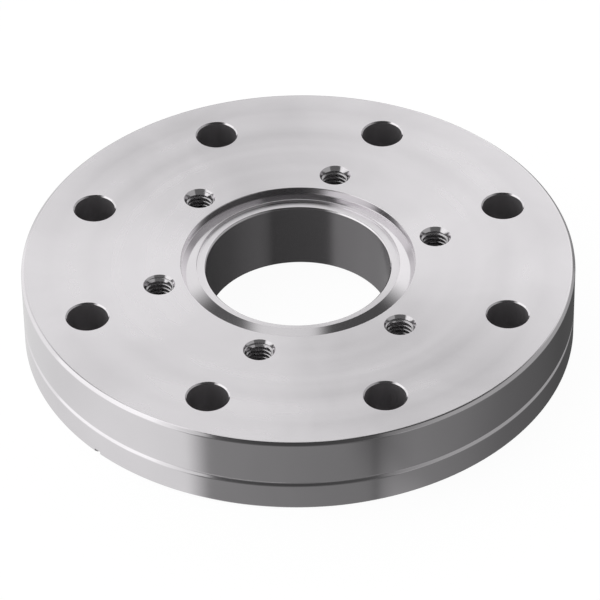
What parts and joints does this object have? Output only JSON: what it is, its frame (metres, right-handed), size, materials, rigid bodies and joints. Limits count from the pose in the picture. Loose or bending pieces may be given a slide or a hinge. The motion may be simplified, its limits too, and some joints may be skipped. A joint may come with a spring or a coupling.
{
  "type": "double-sided reducing knife-edge vacuum flange",
  "caption": "Round steel disc that joins a large and a small knife-edge vacuum flange, with a sharp-edged gasket seat on each side, a central bore, plain bolt holes and blind tapped holes.",
  "frame": {"origin": "centre of the large sealing face, on the axis, at the plane that the flange rests on", "axes": "+Z along the bore axis, from the large side towards the small side; +X midway between two bolt holes"},
  "size_m": [0.114, 0.114, 0.0175],
  "materials": {
    "stainless_steel": "fine turned, satin on the faces and smooth on the rim"
  },
  "bodies": {
    "root": {"reducer_flange": "stainless_steel"}
  },
  "joints": []
}
